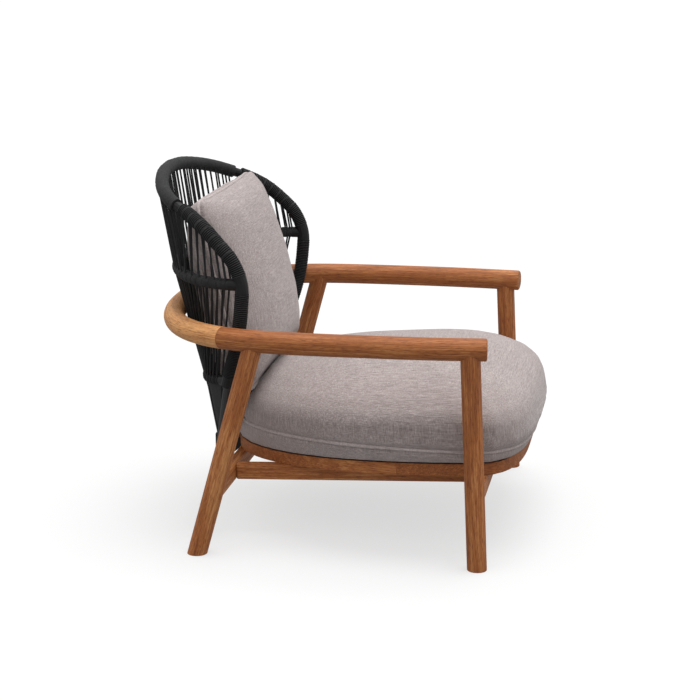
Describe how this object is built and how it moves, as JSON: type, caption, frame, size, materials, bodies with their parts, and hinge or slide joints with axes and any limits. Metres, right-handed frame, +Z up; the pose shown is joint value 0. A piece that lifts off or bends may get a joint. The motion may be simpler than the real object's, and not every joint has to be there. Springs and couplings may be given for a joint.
{
  "type": "wooden armchair",
  "caption": "Low wooden armchair: round horseshoe arm rail on raked round legs, cord-strung curved back frame, loose seat and back cushions.",
  "frame": {"origin": "on the floor, under the centre of the chair's overall width and depth", "axes": "+Z up, the sitter faces -Y, the chair's width runs along X and it is mirror-symmetric about X = 0"},
  "size_m": [0.824, 0.8773, 0.802],
  "materials": {
    "wood": "oiled, satin, straight grain",
    "cord": "matt braided cord",
    "coat": "satin powder coat",
    "deck": "matt open mesh sheet",
    "fabric": "plain fine weave, matt"
  },
  "bodies": {
    "chair_frame": {"arm_left": "wood", "arm_rear_bow": "wood", "arm_right": "wood", "back_arch": "cord", "back_bracket": "coat", "back_hub": "coat", "cords_rear_lower": "cord", "cords_rear_upper": "cord", "cords_side_lower_left": "cord", "cords_side_lower_right": "cord", "cords_side_upper_left": "cord", "cords_side_upper_right": "cord", "cross_rail_front": "wood", "cross_rail_rear": "wood", "leg_front_left": "wood", "leg_front_right": "wood", "leg_rear_left": "wood", "leg_rear_right": "wood", "lower_joint_left": "coat", "lower_joint_right": "coat", "lower_rail_left": "cord", "lower_rail_right": "cord", "lower_tube_left": "coat", "lower_tube_right": "coat", "lower_web_left": "cord", "lower_web_right": "cord", "mid_hoop": "cord", "seat_deck": "deck", "seat_ring_front_left": "wood", "seat_ring_front_right": "wood", "seat_ring_rear_left": "wood", "seat_ring_rear_right": "wood", "side_rail_left": "wood", "side_rail_right": "wood", "side_tube_left": "cord", "side_tube_right": "cord", "sleeve_left": "coat", "sleeve_right": "coat", "stile_left": "coat", "stile_right": "coat", "wing_joint_left": "coat", "wing_joint_right": "coat", "wing_left": "cord", "wing_right": "cord"},
    "seat_cushion_body": {"seat_cushion": "fabric"},
    "back_cushion_body": {"back_cushion": "fabric"}
  },
  "joints": [
    {"name": "seat_cushion_lift", "type": "slide", "parent": "chair_frame", "child": "seat_cushion_body", "axis": [0, -0.6, 0.8], "range_m": [0, 0.3]},
    {"name": "back_cushion_lift", "type": "slide", "parent": "chair_frame", "child": "back_cushion_body", "axis": [0, -0.25, 0.9682], "range_m": [0, 0.35]}
  ]
}
